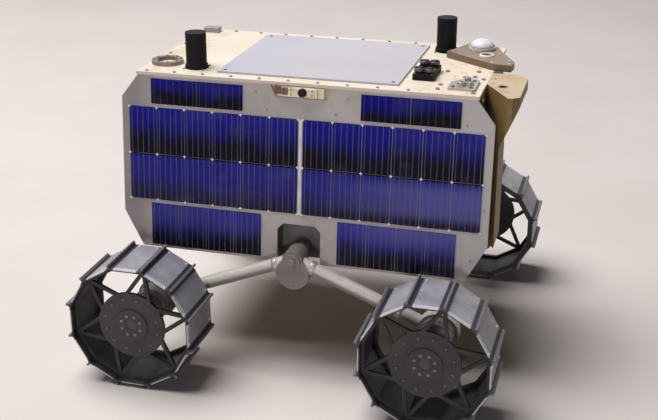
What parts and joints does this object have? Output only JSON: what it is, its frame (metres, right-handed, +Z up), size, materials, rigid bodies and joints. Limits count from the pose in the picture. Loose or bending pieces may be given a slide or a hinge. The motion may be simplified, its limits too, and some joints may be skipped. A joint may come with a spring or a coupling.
{
  "type": "planetary rover",
  "caption": "Small wheeled rover: box body with solar side panels and a flat deck, rocker arms and finned metal wheels that turn on axles.",
  "frame": {"origin": "on the ground under the middle of the rover", "axes": "+X forwards along the direction of travel, +Z up, the near panel of the picture on -Y"},
  "size_m": [0.5548, 0.528, 0.4325],
  "materials": {
    "gold_metal": "satin",
    "panel_board": "matte",
    "solar_cell": "gloss",
    "white_plate": "satin",
    "black_plastic": "matte",
    "lens": "gloss",
    "cream_metal": "satin",
    "grey_metal": "satin",
    "arm_metal": "satin",
    "tread_metal": "scuffed",
    "dark_metal": "satin",
    "pale_dome": "satin"
  },
  "bodies": {
    "chassis": {"belly_pan": "gold_metal", "body_shell": "gold_metal", "deck_connectors": "black_plastic", "deck_corner_block": "grey_metal", "deck_corner_plate": "grey_metal", "deck_plate": "gold_metal", "deck_ring": "grey_metal", "far_camera_body": "cream_metal", "far_camera_lens": "lens", "far_front_arm": "arm_metal", "far_front_drive": "grey_metal", "far_panel_board": "panel_board", "far_panel_cells": "solar_cell", "far_pivot": "grey_metal", "far_rear_arm": "arm_metal", "far_rear_drive": "grey_metal", "far_rocker_hub": "arm_metal", "front_antenna": "black_plastic", "front_camera": "black_plastic", "front_end_plate": "gold_metal", "horn_bracket": "gold_metal", "near_camera_body": "cream_metal", "near_camera_lens": "lens", "near_front_arm": "arm_metal", "near_front_drive": "grey_metal", "near_panel_board": "panel_board", "near_panel_cells": "solar_cell", "near_pivot": "grey_metal", "near_rear_arm": "arm_metal", "near_rear_drive": "grey_metal", "near_rocker_hub": "arm_metal", "radiator_plate": "white_plate", "rear_antenna": "black_plastic", "rear_camera": "black_plastic", "rear_end_plate": "gold_metal", "sensor_dome": "pale_dome", "sensor_housing": "gold_metal"},
    "near_front_wheel": {"near_front_tread": "tread_metal", "near_front_web": "dark_metal"},
    "near_rear_wheel": {"near_rear_tread": "tread_metal", "near_rear_web": "dark_metal"},
    "far_front_wheel": {"far_front_tread": "tread_metal", "far_front_web": "dark_metal"},
    "far_rear_wheel": {"far_rear_tread": "tread_metal", "far_rear_web": "dark_metal"}
  },
  "joints": [
    {"name": "near_front_wheel_spin", "type": "hinge", "parent": "chassis", "child": "near_front_wheel", "pos_m": [0.191, -0.224, 0.08636], "axis": [0, 1, 0], "continuous": true},
    {"name": "near_rear_wheel_spin", "type": "hinge", "parent": "chassis", "child": "near_rear_wheel", "pos_m": [-0.191, -0.224, 0.08636], "axis": [0, 1, 0], "continuous": true},
    {"name": "far_front_wheel_spin", "type": "hinge", "parent": "chassis", "child": "far_front_wheel", "pos_m": [0.191, 0.224, 0.08636], "axis": [0, 1, 0], "continuous": true},
    {"name": "far_rear_wheel_spin", "type": "hinge", "parent": "chassis", "child": "far_rear_wheel", "pos_m": [-0.191, 0.224, 0.08636], "axis": [0, 1, 0], "continuous": true}
  ]
}
